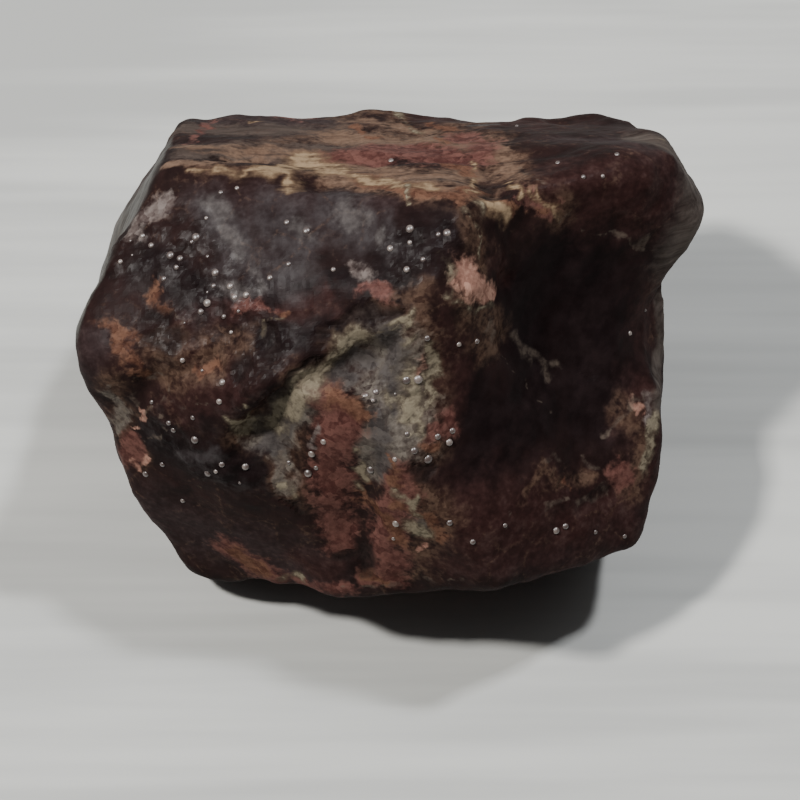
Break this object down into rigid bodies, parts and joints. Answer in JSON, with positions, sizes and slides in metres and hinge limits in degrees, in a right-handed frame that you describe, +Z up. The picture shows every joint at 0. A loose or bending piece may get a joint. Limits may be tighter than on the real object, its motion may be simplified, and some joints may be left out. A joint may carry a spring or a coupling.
{
  "type": "garnet crystal",
  "caption": "Rough worn garnet crystal, a distorted dodecahedron with a hollowed front, rounded lobes and striated edges, lying on one of its faces.",
  "frame": {"origin": "middle of the crystal's footprint box, at the level of the face it rests on", "axes": "+Z up from the rest face, +X along the crystal's longest extent, -Y towards the hollowed front"},
  "size_m": [0.0322, 0.027, 0.0243],
  "materials": {
    "garnet": "opaque dark red-brown, half-matt with greasy gloss, cream and rust-orange altered patches"
  },
  "bodies": {
    "root": {"garnet_crystal": "garnet"}
  },
  "joints": []
}
